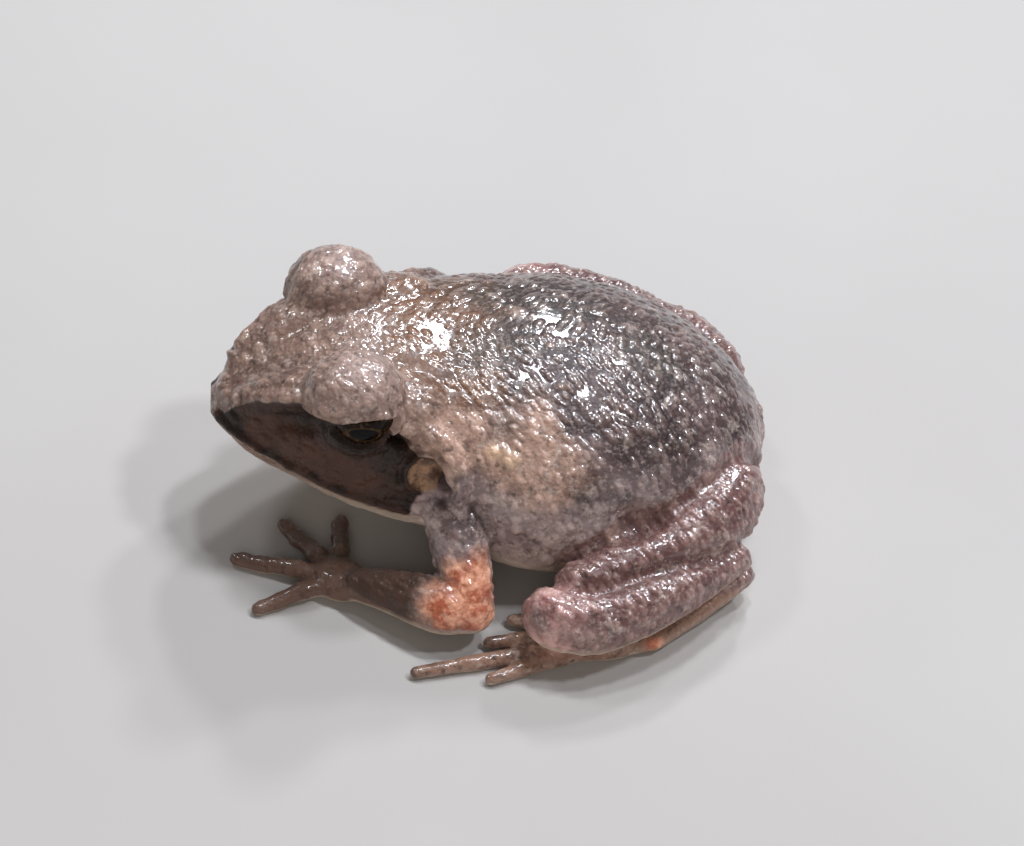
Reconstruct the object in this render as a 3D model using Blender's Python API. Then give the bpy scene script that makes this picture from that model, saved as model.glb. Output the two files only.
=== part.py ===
"""A burrowing frog crouched on the ground, life size, parted into its head, trunk, eyes, ears and limbs.

The forms are worked out in millimetres, with the snout along +X, the animal's left along +Y and the ground
at z = 0. Each node is brought to metres at the end, with the middle of the whole animal over the origin.
"""

import math

import bmesh
import bpy
import numpy as np
from mathutils import Matrix, Vector

METRES_PER_MILLIMETRE = 0.001
GAP = 0.3
SKIN_CELL = 0.42
FOOT_CELL = 0.34
SKIN_TRIANGLES = 11000
FOOT_TRIANGLES = 900
FACET_SHARE = 0.62
SIDES = {"left": 1, "right": -1}

# The trunk and head from vent to snout: x, lowest z, z of the widest line, top z, half width, and the power
# that squares the upper half of the section.
TRUNK = [
    (-24.6, 5.4, 6.4, 7.8, 0.8, 2.0),
    (-23.8, 2.6, 5.8, 10.0, 4.6, 2.0),
    (-21.5, 0.3, 5.4, 12.4, 9.0, 2.0),
    (-17.5, -0.4, 5.5, 14.8, 12.0, 2.1),
    (-12.0, -0.4, 5.8, 16.9, 13.8, 2.2),
    (-6.0, -0.4, 6.2, 17.9, 14.5, 2.2),
    (-1.0, 0.0, 6.8, 17.8, 13.6, 2.3),
    (3.0, 1.4, 7.6, 17.8, 11.7, 2.8),
    (7.5, 3.4, 8.2, 18.1, 10.4, 3.1),
    (12.0, 5.2, 8.8, 18.1, 8.9, 3.0),
    (16.4, 6.9, 9.4, 16.6, 6.3, 3.0),
    (19.4, 8.1, 10.2, 14.9, 4.5, 2.8),
    (21.3, 9.3, 11.0, 13.6, 2.8, 2.4),
    (22.1, 10.4, 11.4, 12.8, 1.3, 2.0),
]
UNDERSIDE_POWER = 2.3
RING_POINTS = 44
RINGS_PER_SPAN = 4

# The head swings a little to the animal's left, over the stretch between these two x.
HEAD_TURN = math.radians(6.0)
TURN_START = -2.0
TURN_END = 9.0
NECK_TOP_X = 2.4
NECK_THROAT_X = 3.6
NECK_TOP_Z = 18.0

EYE_CENTRE = (11.1, 7.1, 16.7)
EYE_RADIUS = 2.9
BROW_CENTRE = (11.8, 6.3, 17.9)
BROW_RADII = (4.1, 3.75, 3.15)
TEMPLE_CENTRE = (7.2, 6.0, 15.9)
TEMPLE_RADII = (3.7, 3.4, 2.25)
CHEEK_CENTRE = (10.9, 6.7, 14.8)
CHEEK_RADII = (3.9, 3.1, 2.3)
LID_EDGE_RADIUS = 0.5
UPPER_LID_LIFT = math.radians(30.0)
LOWER_LID_DROP = math.radians(38.0)
LID_CORNER = math.radians(62.0)

EAR_X = 5.9
EAR_Z = 12.0
EAR_RADIUS = 1.85
EAR_DEPTH = 0.9

# The fold from the eye over and behind the ear: x, z, radius, and how far its middle stands off the flank.
FOLD = [
    (8.2, 17.0, 0.6, -0.2),
    (6.6, 15.9, 0.8, -0.1),
    (4.6, 14.9, 1.0, 0.0),
    (3.0, 13.0, 1.15, 0.1),
    (2.7, 10.6, 1.1, 0.1),
    (3.1, 8.4, 0.8, -0.2),
]

# The ridge from the brow to the nostril: x, y, z and radius.
CANTHUS = [(12.6, 4.8, 16.4, 2.6), (15.4, 3.9, 15.3, 2.5), (17.8, 2.8, 14.2, 2.1), (19.6, 2.0, 13.3, 1.5)]

# The mouth line along the side of the head: x and z from the snout back to the corner of the jaw.
MOUTH = [(21.7, 10.4), (19.9, 9.9), (17.0, 9.0), (12.5, 8.1), (8.0, 7.3), (4.9, 6.9)]
MOUTH_GROOVE_RADIUS = 0.24
LIP_RISE = 0.75
LIP_RADIUS = 0.55
NOSTRIL = (20.2, 2.7, 14.25)
NOSTRIL_RADIUS = 0.45

# Limbs of the left side: x, y, z and radius down the middle of each stretch.
UPPER_ARM = [(2.6, 6.8, 9.0, 3.2), (2.2, 10.8, 7.6, 2.9), (1.6, 14.4, 5.3, 2.4), (1.2, 16.9, 3.4, 2.2)]
FOREARM = [(1.0, 17.4, 3.0, 2.1), (3.6, 17.1, 3.0, 2.3), (6.8, 15.4, 2.5, 1.9), (9.8, 14.0, 1.8, 1.4)]
PALM_CENTRE = (11.4, 12.6, 1.0)
PALM_RADII = (2.6, 2.2, 1.25)
PALM_TURN = math.radians(-35.0)
FINGERS = [(-92.0, 5.0), (-55.0, 5.8), (-16.0, 6.8), (24.0, 5.4)]
FINGER_ROOT_RADIUS = 0.85
FINGER_TIP_RADIUS = 0.62
FINGER_ARCH = 0.55

THIGH = [(-20.0, 7.0, 6.4, 4.1), (-18.2, 10.4, 6.1, 4.0), (-13.9, 13.8, 6.0, 3.1), (-7.4, 17.4, 5.0, 2.5)]
SHANK = [(-6.0, 19.2, 4.4, 2.9), (-9.2, 19.4, 4.2, 2.8), (-14.6, 16.9, 4.7, 2.6), (-20.8, 12.5, 4.6, 1.9)]
TARSUS = [(-21.7, 12.4, 2.3, 1.6), (-18.4, 14.9, 1.1, 1.4), (-14.4, 17.8, 0.9, 1.45)]
METATARSUS = [(-14.4, 17.8, 0.9, 1.5), (-10.8, 18.5, 0.8, 1.9), (-8.0, 18.8, 0.7, 1.8)]
FOOT_FLATNESS = 0.72
TOES = [
    [(-10.0, 17.2), (-7.8, 16.0), (-5.6, 15.2)],
    [(-9.2, 17.8), (-6.0, 16.8), (-2.8, 16.4)],
    [(-8.8, 18.4), (-4.0, 18.3), (0.8, 18.8)],
    [(-8.4, 19.0), (-2.2, 20.4), (5.4, 22.2)],
    [(-9.0, 19.4), (-4.8, 21.0), (-0.6, 22.8)],
]
TOE_ROOT_RADIUS = 0.85
TOE_TIP_RADIUS = 0.55
TOE_HEIGHT = 0.55
WEB_SHARE = 0.42
WEB_THICKNESS = 0.7
SPADE_CENTRE = (-12.8, 15.7, 0.8)
SPADE_RADII = (1.9, 0.8, 0.95)
SPADE_TURN = math.radians(20.0)

SKIN_BROWN = (0.26, 0.19, 0.16)
HEAD_TAN = (0.36, 0.28, 0.23)
LIMB_BROWN = (0.33, 0.21, 0.17)
ELBOW_ORANGE = (0.48, 0.24, 0.16)
TOE_TAN = (0.46, 0.31, 0.24)
EAR_TAN = (0.30, 0.20, 0.15)
EYE_DARK = (0.05, 0.035, 0.02)
SKIN_ROUGHNESS = 0.38
EYE_ROUGHNESS = 0.06


def clear_scene():
    for item in list(bpy.data.objects):
        bpy.data.objects.remove(item)


def through(rows, steps):
    """A smooth run of rows that passes through each given row."""
    rows = np.asarray(rows, float)
    padded = np.vstack([2 * rows[0] - rows[1], rows, 2 * rows[-1] - rows[-2]])
    t = np.linspace(0.0, 1.0, steps, endpoint=False)[:, None]
    spans = []
    for a, b, c, d in zip(padded, padded[1:], padded[2:], padded[3:]):
        bend = (2 * a - 5 * b + 4 * c - d) * t**2
        turn = (3 * b - a - 3 * c + d) * t**3
        spans.append(0.5 * (2 * b + (c - a) * t + bend + turn))
    return np.vstack(spans + [rows[-1:]])


def turned(point):
    """A point of the straight head moved with the head's swing to the side."""
    share = min(max((point[0] - TURN_START) / (TURN_END - TURN_START), 0.0), 1.0)
    angle = HEAD_TURN * share * share * (3.0 - 2.0 * share)
    reach = point[0] - TURN_START
    x = TURN_START + reach * math.cos(angle) - point[1] * math.sin(angle)
    y = reach * math.sin(angle) + point[1] * math.cos(angle)
    return Vector((x, y, point[2]))


def mesh_object(name, mesh):
    item = bpy.data.objects.new(name, mesh)
    bpy.context.scene.collection.objects.link(item)
    return item


def object_from_bmesh(name, shape):
    bmesh.ops.recalc_face_normals(shape, faces=shape.faces)
    mesh = bpy.data.meshes.new(name)
    shape.to_mesh(mesh)
    shape.free()
    return mesh_object(name, mesh)


def swing_head(item):
    for vertex in item.data.vertices:
        vertex.co = turned(vertex.co)
    return item


def section_point(row, angle):
    """A point of the trunk's section at this angle, measured from the animal's left upwards."""
    x, low, middle, top, half_width, top_power = row
    across = math.cos(angle)
    upward = math.sin(angle)
    power = top_power if upward > 0 else UNDERSIDE_POWER
    height = top - middle if upward > 0 else middle - low
    y = half_width * math.copysign(abs(across) ** (2.0 / power), across)
    z = middle + height * math.copysign(abs(upward) ** (2.0 / power), upward)
    return (x, y, z)


def flank_y(x, z):
    """How far out the straight trunk's side lies at this x and z."""
    rows = through(TRUNK, RINGS_PER_SPAN)
    low, middle, top, half_width, top_power = [np.interp(x, rows[:, 0], rows[:, k]) for k in range(1, 6)]
    power = top_power if z > middle else UNDERSIDE_POWER
    height = top - middle if z > middle else middle - low
    share = min(abs(z - middle) / height, 1.0)
    return half_width * (1.0 - share**power) ** (1.0 / power)


def trunk():
    shape = bmesh.new()
    rings = []
    for row in through(TRUNK, RINGS_PER_SPAN):
        angles = [2.0 * math.pi * k / RING_POINTS for k in range(RING_POINTS)]
        rings.append([shape.verts.new(section_point(row, angle)) for angle in angles])
    for ring in rings:
        for a, b in zip(ring, ring[1:] + ring[:1]):
            shape.edges.new((a, b))
    for ring, onward in zip(rings, rings[1:]):
        joined = []
        for loop in (ring, onward):
            for a, b in zip(loop, loop[1:] + loop[:1]):
                joined.append(shape.edges.get((a, b)))
        bmesh.ops.bridge_loops(shape, edges=joined)
    shape.faces.new(rings[0])
    shape.faces.new(rings[-1])
    return swing_head(object_from_bmesh("trunk", shape))


def ball(centre, radii, side=1, grow=0.0, turn=0.0, rings=14):
    """An ellipsoid, turned about the upright axis and placed on one side of the animal."""
    shape = bmesh.new()
    bmesh.ops.create_uvsphere(shape, u_segments=rings + 6, v_segments=rings, radius=1.0)
    x, y, z = centre
    scale = Matrix.Diagonal([r + grow for r in radii] + [1.0])
    place = Matrix.Translation((x, y * side, z)) @ Matrix.Rotation(turn * side, 4, "Z") @ scale
    bmesh.ops.transform(shape, matrix=place, verts=shape.verts)
    return object_from_bmesh("ball", shape)


def rounded(rows):
    """The rows of a tube with a half round added past each end."""
    start = rows[0, :3] - rows[1, :3]
    finish = rows[-1, :3] - rows[-2, :3]
    caps = []
    for row, direction in ((rows[0], start), (rows[-1], finish)):
        step = direction / np.linalg.norm(direction)
        cap = []
        for angle in np.radians([28.0, 52.0, 70.0, 84.0]):
            centre = row[:3] + step * row[3] * math.sin(angle)
            cap.append([*centre, row[3] * math.cos(angle)])
        caps.append(np.array(cap))
    return np.vstack([caps[0][::-1], rows, caps[1]])


def tube(rows, side=1, grow=0.0, flatness=1.0, steps=5):
    """A round limb along a smooth line, with half-round ends, drawn lower than wide where it is flattened."""
    line = through(rows, steps if grow == 0.0 else 2)
    line[:, 3] += grow
    line = rounded(line)
    curve = bpy.data.curves.new("limb", "CURVE")
    curve.dimensions = "3D"
    curve.bevel_depth = 1.0
    curve.bevel_resolution = 3 if grow == 0.0 else 2
    curve.use_fill_caps = True
    spline = curve.splines.new("POLY")
    spline.points.add(len(line) - 1)
    for point, (x, y, z, radius) in zip(spline.points, line):
        point.co = (x, y * side, z, 1.0)
        point.radius = radius
    source = mesh_object("limb", curve)
    mesh = bpy.data.meshes.new_from_object(source.evaluated_get(bpy.context.evaluated_depsgraph_get()))
    bpy.data.objects.remove(source)
    shape = bmesh.new()
    shape.from_mesh(mesh)
    bmesh.ops.remove_doubles(shape, verts=shape.verts, dist=0.0001)
    if flatness != 1.0:
        squash_along(shape, line, flatness)
    return object_from_bmesh("limb", shape)


def squash_along(shape, line, flatness):
    for vertex in shape.verts:
        nearest = line[np.argmin(np.abs(line[:, 0] - vertex.co.x))]
        vertex.co.z = nearest[2] + (vertex.co.z - nearest[2]) * flatness


def box(low, high):
    shape = bmesh.new()
    bmesh.ops.create_cube(shape, size=1.0)
    size = Vector(high) - Vector(low)
    middle = (Vector(high) + Vector(low)) / 2.0
    matrix = Matrix.Translation(middle) @ Matrix.Diagonal([*size, 1.0])
    bmesh.ops.transform(shape, matrix=matrix, verts=shape.verts)
    return object_from_bmesh("box", shape)


def apply_modifiers(item):
    mesh = bpy.data.meshes.new_from_object(item.evaluated_get(bpy.context.evaluated_depsgraph_get()))
    item.modifiers.clear()
    item.data = mesh
    return item


def united(name, items):
    """One closed surface round all the items, which are used up."""
    first = items[0]
    first.name = name
    if len(items) == 1:
        return first
    others = bpy.data.collections.new("others")
    bpy.context.scene.collection.children.link(others)
    for item in items[1:]:
        others.objects.link(item)
    join = first.modifiers.new("join", "BOOLEAN")
    join.operation = "UNION"
    join.operand_type = "COLLECTION"
    join.collection = others
    join.solver = "MANIFOLD"
    apply_modifiers(first)
    for item in items[1:]:
        bpy.data.objects.remove(item)
    bpy.data.collections.remove(others)
    return first


def combine(item, tool, operation):
    step = item.modifiers.new("step", "BOOLEAN")
    step.operation = operation
    step.object = tool
    step.solver = "MANIFOLD"
    return apply_modifiers(item)


def skin_over(item, cell, relax_steps, triangles):
    """One even skin over the joined forms, eased where they meet, in about the given number of triangles."""
    cover = item.modifiers.new("cover", "REMESH")
    cover.mode = "VOXEL"
    cover.voxel_size = cell
    relax = item.modifiers.new("relax", "SMOOTH")
    relax.factor = 0.5
    relax.iterations = relax_steps
    apply_modifiers(item)
    shape = bmesh.new()
    shape.from_mesh(item.data)
    bmesh.ops.triangulate(shape, faces=shape.faces)
    shape.to_mesh(item.data)
    shape.free()
    return lighten(item, min(1.0, triangles / len(item.data.polygons)))


def lighten(item, share):
    """Fewer, larger facets, closest where the surface bends most."""
    thin = item.modifiers.new("thin", "DECIMATE")
    thin.ratio = share
    thin.use_collapse_triangulate = True
    return apply_modifiers(item)


def keep_largest(item):
    """Drop every loose scrap, so that one closed body stays."""
    shape = bmesh.new()
    shape.from_mesh(item.data)
    bmesh.ops.triangulate(shape, faces=shape.faces)
    unseen = set(shape.faces)
    groups = []
    while unseen:
        stack = [unseen.pop()]
        group = []
        while stack:
            face = stack.pop()
            group.append(face)
            for edge in face.edges:
                for other in edge.link_faces:
                    if other in unseen:
                        unseen.remove(other)
                        stack.append(other)
        groups.append(group)
    groups.sort(key=lambda group: -sum(face.calc_area() for face in group))
    for group in groups[1:]:
        bmesh.ops.delete(shape, geom=group, context="FACES")
    loose = [vertex for vertex in shape.verts if not vertex.link_faces]
    bmesh.ops.delete(shape, geom=loose, context="VERTS")
    shape.to_mesh(item.data)
    shape.free()
    return item


def cut_floor(item):
    ground = box((-60.0, -60.0, -20.0), (60.0, 60.0, 0.0))
    combine(item, ground, "DIFFERENCE")
    bpy.data.objects.remove(ground)
    return item


def eye_point(side, sweep, lift, distance):
    """A point round the eye's centre: sweep runs forward from the side, lift runs up."""
    x, y, z = EYE_CENTRE
    out = distance * math.cos(lift)
    return (x + out * math.sin(sweep), y + out * math.cos(sweep), z + distance * math.sin(lift))


def lid_edge(side, lift):
    """The rim of one lid, an arc over the eye from its front corner to its back corner."""
    rows = []
    for sweep in np.linspace(LID_CORNER, -LID_CORNER, 7):
        rise = lift * math.cos(sweep / LID_CORNER * math.pi / 2.0)
        rows.append((*eye_point(side, sweep, rise, EYE_RADIUS + 0.25), LID_EDGE_RADIUS))
    return swing_head(tube(rows, side, steps=3))


def mouth_rows(side, radius, rise, out):
    """A line along the mouth from the jaw's corner on this side to the middle of the snout."""
    rows = []
    for x, z in MOUTH[::-1]:
        rows.append((x, flank_y(x, z + rise) + out, z + rise, radius))
    rows.append((MOUTH[0][0] + 0.45, 0.0, MOUTH[0][1] + rise, radius))
    return rows


def fold(side):
    rows = []
    for x, z, radius, out in FOLD:
        rows.append((x, flank_y(x, z) + out, z, radius))
    return swing_head(tube(rows, side))


def lips(side):
    return swing_head(tube(mouth_rows(side, LIP_RADIUS, LIP_RISE, -0.32), side, steps=4))


def upper_arm(side, grow=0.0):
    return [tube(UPPER_ARM, side, grow)]


def forearm(side, grow=0.0):
    return [tube(FOREARM, side, grow)]


def finger_rows(angle, length):
    direction = Vector((math.cos(angle), math.sin(angle), 0.0))
    root = Vector(PALM_CENTRE) + direction * 0.8
    rows = []
    for share in (0.0, 0.35, 0.7, 1.0):
        centre = root + direction * (length + 1.2) * share
        arch = FINGER_ARCH * math.sin(math.pi * min(share * 1.3, 1.0))
        radius = FINGER_ROOT_RADIUS + (FINGER_TIP_RADIUS - FINGER_ROOT_RADIUS) * share
        rows.append((centre.x, centre.y, 0.45 + arch, radius))
    return rows


def hand(side, grow=0.0):
    pieces = [ball(PALM_CENTRE, PALM_RADII, side, grow, PALM_TURN)]
    for angle, length in FINGERS:
        pieces.append(tube(finger_rows(math.radians(angle), length), side, grow))
    return pieces


def thigh(side, grow=0.0):
    return [tube(THIGH, side, grow)]


def shank(side, grow=0.0):
    return [tube(SHANK, side, grow)]


def toe_rows(line):
    rows = []
    for share, (x, y) in zip((0.0, 0.5, 1.0), line):
        radius = TOE_ROOT_RADIUS + (TOE_TIP_RADIUS - TOE_ROOT_RADIUS) * share
        rows.append((x, y, TOE_HEIGHT, radius))
    return rows


def web(inner, outer, side):
    """A thin fin that fills the fork between two toes and hollows towards its free edge."""
    one = through([(x, y, 0.0) for x, y in inner], 8)
    two = through([(x, y, 0.0) for x, y in outer], 8)
    reach = int(WEB_SHARE * len(one))
    middle = (one[reach // 2] + two[reach // 2]) / 2.0
    outline = [*one[: reach + 1], middle, *two[: reach + 1][::-1]]
    shape = bmesh.new()
    verts = [shape.verts.new((x, y * side, TOE_HEIGHT - WEB_THICKNESS / 2.0)) for x, y, _ in outline]
    face = shape.faces.new(verts)
    raised = bmesh.ops.extrude_face_region(shape, geom=[face])["geom"]
    tops = [item for item in raised if isinstance(item, bmesh.types.BMVert)]
    bmesh.ops.translate(shape, vec=(0.0, 0.0, WEB_THICKNESS), verts=tops)
    bmesh.ops.triangulate(shape, faces=shape.faces)
    return object_from_bmesh("web", shape)


def foot(side, grow=0.0):
    pieces = [tube(TARSUS, side, grow, FOOT_FLATNESS), tube(METATARSUS, side, grow, FOOT_FLATNESS)]
    for line in TOES:
        pieces.append(tube(toe_rows(line), side, grow))
    pieces.append(ball(SPADE_CENTRE, SPADE_RADII, side, grow, SPADE_TURN))
    if grow == 0.0:
        for inner, outer in zip(TOES, TOES[1:]):
            pieces.append(web(inner, outer, side))
    return pieces


def body_forms():
    forms = [trunk()]
    for side in SIDES.values():
        forms.append(swing_head(ball(BROW_CENTRE, BROW_RADII, side)))
        forms.append(swing_head(ball(TEMPLE_CENTRE, TEMPLE_RADII, side)))
        forms.append(swing_head(ball(CHEEK_CENTRE, CHEEK_RADII, side)))
        forms.append(lid_edge(side, UPPER_LID_LIFT))
        forms.append(lid_edge(side, -LOWER_LID_DROP))
        forms.append(fold(side))
        forms.append(swing_head(tube(CANTHUS, side)))
        forms.append(lips(side))
        forms += upper_arm(side) + forearm(side) + hand(side) + thigh(side) + shank(side)
    return forms


def socket_and_pits(skin):
    """Open the eye sockets, the nostrils and the line of the mouth."""
    tools = []
    for side in SIDES.values():
        tools.append(swing_head(ball(EYE_CENTRE, [EYE_RADIUS + GAP] * 3, side, rings=13)))
        tools.append(swing_head(ball(NOSTRIL, [NOSTRIL_RADIUS] * 3, side, rings=6)))
        tools.append(swing_head(tube(mouth_rows(side, MOUTH_GROOVE_RADIUS, 0.0, 0.05), side, 0.0, 1.0, 2)))
    for tool in tools:
        combine(skin, tool, "DIFFERENCE")
        bpy.data.objects.remove(tool)
    return skin


def ear_cylinder(side, grow):
    """A short drum across the skin at the ear, its axis square to the side of the head."""
    shape = bmesh.new()
    radius = EAR_RADIUS + grow
    depth = 2.0 * (EAR_DEPTH + grow)
    bmesh.ops.create_cone(
        shape, cap_ends=True, segments=28, radius1=radius, radius2=radius, depth=depth
    )
    outward = Vector((-0.12, side * 0.93, 0.3)).normalized()
    facing = outward.to_track_quat("Z", "Y").to_matrix().to_4x4()
    place = Matrix.Translation((EAR_X, flank_y(EAR_X, EAR_Z) * side, EAR_Z)) @ facing
    bmesh.ops.transform(shape, matrix=place, verts=shape.verts)
    return swing_head(object_from_bmesh("drum", shape))


def claim(name, skin, region, wide_region):
    """Part a node off the skin, leaving the gap between the two regions empty."""
    part = mesh_object(name, skin.data.copy())
    combine(part, region, "INTERSECT")
    combine(skin, wide_region, "DIFFERENCE")
    bpy.data.objects.remove(region)
    bpy.data.objects.remove(wide_region)
    return keep_largest(part)


def neck_block(grow):
    """Everything ahead of a slanted plane behind the ears, back by the given distance."""
    shape = bmesh.new()
    slope = (NECK_THROAT_X - NECK_TOP_X) / NECK_TOP_Z
    low_x = NECK_THROAT_X - grow
    high_x = NECK_THROAT_X - slope * 30.0 - grow
    outline = [(low_x, -5.0), (40.0, -5.0), (40.0, 30.0), (high_x, 30.0)]
    verts = [shape.verts.new((x, -30.0, z)) for x, z in outline]
    face = shape.faces.new(verts)
    raised = bmesh.ops.extrude_face_region(shape, geom=[face])["geom"]
    tops = [item for item in raised if isinstance(item, bmesh.types.BMVert)]
    bmesh.ops.translate(shape, vec=(0.0, 60.0, 0.0), verts=tops)
    return object_from_bmesh("block", shape)


def limb_regions(side, maker, margin):
    return united("region", maker(side, margin)), united("wide", maker(side, margin + GAP))


def part_skin(skin, feet):
    """The nodes of the skin, each parted off in turn from the tips of the limbs inwards."""
    nodes = {}
    for word, side in SIDES.items():
        nodes["ear_" + word] = claim(
            "ear_" + word, skin, ear_cylinder(side, 0.0), ear_cylinder(side, GAP)
        )
    order = [("hand", hand, 0.5), ("forearm", forearm, 0.25), ("upper_arm", upper_arm, 0.35)]
    order += [("shank", shank, 0.2), ("thigh", thigh, 0.4)]
    for stem, maker, margin in order:
        for word, side in SIDES.items():
            name = stem + "_" + word
            region, wide = limb_regions(side, maker, margin)
            nodes[name] = claim(name, skin, region, wide)
    for word, side in SIDES.items():
        sole = united("sole", foot(side, GAP))
        for stem in ("shank_", "thigh_"):
            combine(nodes[stem + word], sole, "DIFFERENCE")
            keep_largest(nodes[stem + word])
        combine(skin, sole, "DIFFERENCE")
        bpy.data.objects.remove(sole)
        nodes["foot_" + word] = feet[word]
    nodes["head"] = claim("head", skin, neck_block(0.0), neck_block(GAP))
    skin.name = "torso"
    nodes["torso"] = keep_largest(skin)
    for item in nodes.values():
        keep_largest(lighten(item, FACET_SHARE))
    return nodes


def eyes():
    made = {}
    for word, side in SIDES.items():
        name = "eye_" + word
        made[name] = swing_head(ball(EYE_CENTRE, [EYE_RADIUS] * 3, side, rings=14))
        made[name].name = name
    return made


def finish(nodes):
    """Shade the nodes, centre the animal over the origin and bring it to metres."""
    points = np.array([v.co for item in nodes.values() for v in item.data.vertices])
    middle = (points.min(axis=0) + points.max(axis=0)) / 2.0
    shift = Matrix.Translation((-middle[0], -middle[1], 0.0))
    scale = Matrix.Scale(METRES_PER_MILLIMETRE, 4)
    for item in nodes.values():
        item.data.transform(scale @ shift)
        item.data.polygons.foreach_set("use_smooth", [True] * len(item.data.polygons))
        item.data.update()


def paint(item, colour, roughness):
    material = bpy.data.materials.new(item.name)
    material.use_nodes = True
    shader = material.node_tree.nodes["Principled BSDF"]
    shader.inputs["Base Color"].default_value = (*colour, 1.0)
    shader.inputs["Roughness"].default_value = roughness
    shader.inputs["Metallic"].default_value = 0.0
    item.data.materials.clear()
    item.data.materials.append(material)


def paint_all(nodes):
    colours = {
        "head": HEAD_TAN,
        "torso": SKIN_BROWN,
        "ear": EAR_TAN,
        "upper": LIMB_BROWN,
        "forearm": ELBOW_ORANGE,
        "hand": TOE_TAN,
        "thigh": LIMB_BROWN,
        "shank": LIMB_BROWN,
        "foot": TOE_TAN,
    }
    for name, item in nodes.items():
        stem = name.split("_")[0]
        if stem == "eye":
            paint(item, EYE_DARK, EYE_ROUGHNESS)
        else:
            paint(item, colours[stem], SKIN_ROUGHNESS)


def main():
    clear_scene()
    skin = cut_floor(skin_over(united("skin", body_forms()), SKIN_CELL, 4, SKIN_TRIANGLES))
    socket_and_pits(skin)
    feet = {}
    for word, side in SIDES.items():
        pieces = united("foot_" + word, foot(side))
        feet[word] = keep_largest(cut_floor(skin_over(pieces, FOOT_CELL, 2, FOOT_TRIANGLES)))
    nodes = part_skin(skin, feet)
    nodes.update(eyes())
    finish(nodes)
    paint_all(nodes)


main()
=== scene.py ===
"""The looks of a burrowing frog that crouches on a plain floor: one wet, warted skin, and its eyes.

The forms are worked out in millimetres from the same sizes as the solids, with the snout along +X and the
animal's left along +Y, and are brought to metres over the solids at the end.
"""

import itertools
import math

import bmesh
import bpy
import numpy as np
from mathutils import Matrix, Vector


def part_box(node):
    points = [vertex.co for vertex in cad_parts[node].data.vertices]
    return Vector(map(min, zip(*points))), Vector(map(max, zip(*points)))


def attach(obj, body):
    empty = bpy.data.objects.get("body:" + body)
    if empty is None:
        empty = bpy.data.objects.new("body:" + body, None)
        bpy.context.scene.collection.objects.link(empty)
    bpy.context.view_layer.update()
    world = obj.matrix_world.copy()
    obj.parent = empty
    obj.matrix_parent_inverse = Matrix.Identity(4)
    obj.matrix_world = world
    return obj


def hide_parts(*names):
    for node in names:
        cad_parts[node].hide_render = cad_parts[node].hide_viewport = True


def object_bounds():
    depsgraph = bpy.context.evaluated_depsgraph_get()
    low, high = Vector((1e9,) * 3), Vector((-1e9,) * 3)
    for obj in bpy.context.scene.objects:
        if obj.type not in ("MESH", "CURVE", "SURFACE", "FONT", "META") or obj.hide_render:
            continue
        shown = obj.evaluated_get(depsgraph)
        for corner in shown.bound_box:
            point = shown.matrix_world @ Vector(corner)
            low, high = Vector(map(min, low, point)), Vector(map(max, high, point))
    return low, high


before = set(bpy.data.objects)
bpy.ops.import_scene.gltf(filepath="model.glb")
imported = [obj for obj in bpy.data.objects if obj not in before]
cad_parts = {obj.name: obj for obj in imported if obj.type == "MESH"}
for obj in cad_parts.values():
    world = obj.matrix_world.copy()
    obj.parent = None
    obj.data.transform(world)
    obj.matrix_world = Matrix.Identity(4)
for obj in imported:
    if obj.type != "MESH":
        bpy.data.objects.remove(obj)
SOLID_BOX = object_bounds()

METRES = 0.001
SIDES = {"left": 1, "right": -1}

# The voxel of the skin's mesh, how far and how often its points are eased, and the gaps that the skin keeps
# to the floor and to the solids' box.
SKIN_CELL = 0.235
RELAX_FACTOR = 0.5
RELAX_STEPS = 7
FLOOR_CLEARANCE = 0.02
BOX_CLEARANCE = 0.02

# How finely forms are drawn: the steps of a limb from row to row, the rings of a round, and the steps of a
# line that distances are taken from.
LIMB_STEPS = 8
ROUND_RINGS = 24
LINE_STEPS = 6

# The trunk and head from vent to snout: x, lowest z, z of the widest line, top z, half width, and the power
# that squares the upper half of the section.
TRUNK = [
    (-24.6, 5.4, 6.4, 7.8, 0.8, 2.0),
    (-23.8, 2.6, 5.8, 10.0, 4.6, 2.0),
    (-21.5, 0.3, 5.4, 12.4, 9.0, 2.0),
    (-17.5, -0.4, 5.5, 14.8, 12.0, 2.1),
    (-12.0, -0.4, 5.8, 16.9, 13.8, 2.2),
    (-6.0, -0.4, 6.2, 17.9, 14.5, 2.2),
    (-1.0, 0.0, 6.8, 17.8, 13.6, 2.3),
    (3.0, 1.4, 7.6, 17.8, 11.7, 2.8),
    (7.5, 3.4, 8.2, 18.1, 10.4, 3.1),
    (12.0, 5.2, 8.8, 18.1, 8.9, 3.0),
    (16.4, 6.9, 9.4, 16.6, 6.3, 3.0),
    (19.4, 8.1, 10.2, 14.9, 4.5, 2.8),
    (21.3, 9.3, 11.0, 13.6, 2.8, 2.4),
    (22.1, 10.4, 11.4, 12.8, 1.3, 2.0),
]
UNDERSIDE_POWER = 2.3
RING_POINTS = 72
RINGS_PER_SPAN = 6

# The head swings a little to the animal's left, over the stretch between these two x.
HEAD_TURN = math.radians(6.0)
TURN_START = -2.0
TURN_END = 9.0

# The left side of the straight head: centres as x, y and z, and radii. The ear's centre is its x and z.
EYE_CENTRE = (11.1, 7.1, 16.7)
EYE_RADIUS = 2.9
BROW_CENTRE = (11.8, 6.3, 17.9)
BROW_RADII = (4.1, 3.75, 3.15)
TEMPLE_CENTRE = (7.2, 6.0, 15.9)
TEMPLE_RADII = (3.7, 3.4, 2.25)
CHEEK_CENTRE = (10.9, 6.7, 14.8)
CHEEK_RADII = (3.9, 3.1, 2.3)
EAR_CENTRE = (5.9, 12.0)
EAR_RADIUS = 1.85
NOSTRIL = (20.2, 2.7, 14.25)

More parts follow.
